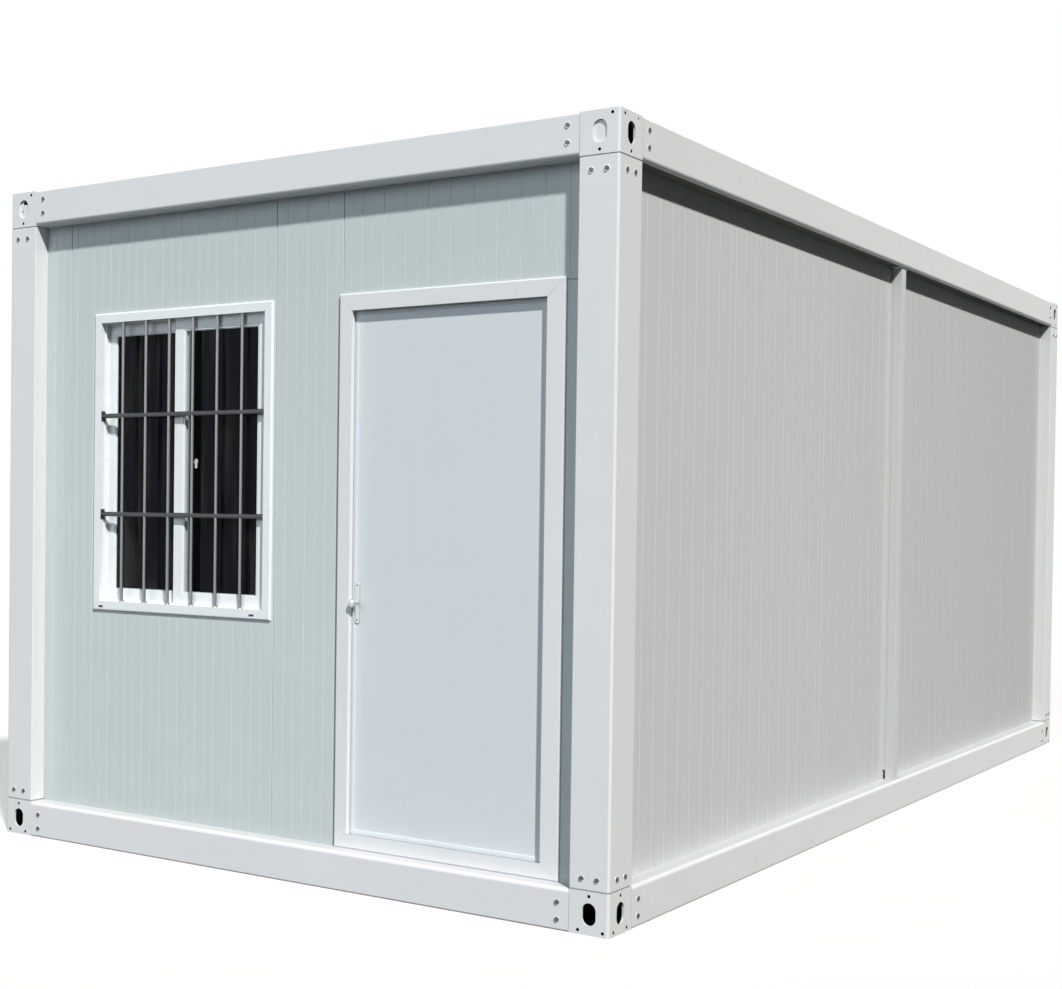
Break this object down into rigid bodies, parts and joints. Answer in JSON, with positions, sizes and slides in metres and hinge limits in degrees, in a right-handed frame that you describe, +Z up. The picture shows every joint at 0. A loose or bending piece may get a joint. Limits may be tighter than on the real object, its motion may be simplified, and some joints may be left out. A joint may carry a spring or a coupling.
{
  "type": "modular container house",
  "caption": "Flat-roofed modular cabin with a bolted white steel frame, pale sandwich-panel walls, a hinged door and a barred sliding window at one end.",
  "frame": {"origin": "centre of the footprint, on the underside of the bottom corner blocks", "axes": "+Z up, +Y along the length away from the door end, +X to the right of someone who faces the door"},
  "size_m": [3, 5.95, 2.8],
  "materials": {
    "frame_paint": "satin",
    "panel_paint": "satin",
    "door_paint": "satin",
    "roof_paint": "satin",
    "ceiling_paint": "satin",
    "galvanised": "galvanised",
    "floor": "matt",
    "window_white": "gloss",
    "window_glass": "clear, dark behind",
    "grille_steel": "satin",
    "hardware": "satin"
  },
  "bodies": {
    "house": {"block_bottom_front_left": "frame_paint", "block_bottom_front_right": "frame_paint", "block_bottom_rear_left": "frame_paint", "block_bottom_rear_right": "frame_paint", "block_top_front_left": "frame_paint", "block_top_front_right": "frame_paint", "block_top_rear_left": "frame_paint", "block_top_rear_right": "frame_paint", "post_front_left": "frame_paint", "post_front_right": "frame_paint", "post_rear_left": "frame_paint", "post_rear_right": "frame_paint", "beam_bottom_front": "frame_paint", "beam_bottom_rear": "frame_paint", "beam_bottom_left": "frame_paint", "beam_bottom_right": "frame_paint", "beam_top_front": "frame_paint", "beam_top_rear": "frame_paint", "beam_top_left": "frame_paint", "beam_top_right": "frame_paint", "middle_columns": "frame_paint", "floor_joists": "galvanised", "floor_board": "floor", "roof_purlins": "galvanised", "roof_sheet": "roof_paint", "ceiling_sheet": "ceiling_paint", "wall_window_panel": "panel_paint", "wall_front_strips": "panel_paint", "wall_over_door": "panel_paint", "wall_rear": "panel_paint", "wall_left": "panel_paint", "wall_right": "panel_paint", "window_frame": "window_white", "window_sash_left": "window_white", "window_sash_right": "window_white", "window_glass": "window_glass", "window_grille": "grille_steel", "window_latch": "hardware", "door_frame": "frame_paint", "hinge_jamb_plates": "hardware"},
    "door": {"door_leaf": "door_paint", "hinge_leaf_plates": "hardware", "lock_plates": "hardware"},
    "knob": {"door_knob": "hardware"}
  },
  "joints": [
    {"name": "door_hinge", "type": "hinge", "parent": "house", "child": "door", "pos_m": [1.2015, -2.837, 1.199], "axis": [0, 0, -1], "range_deg": [0, 90]},
    {"name": "knob_turn", "type": "hinge", "parent": "door", "child": "knob", "pos_m": [0.359, -2.8675, 1.086], "axis": [0, 1, 0], "range_deg": [-60, 60], "stiffness_Nm_per_rad": 0.3}
  ]
}
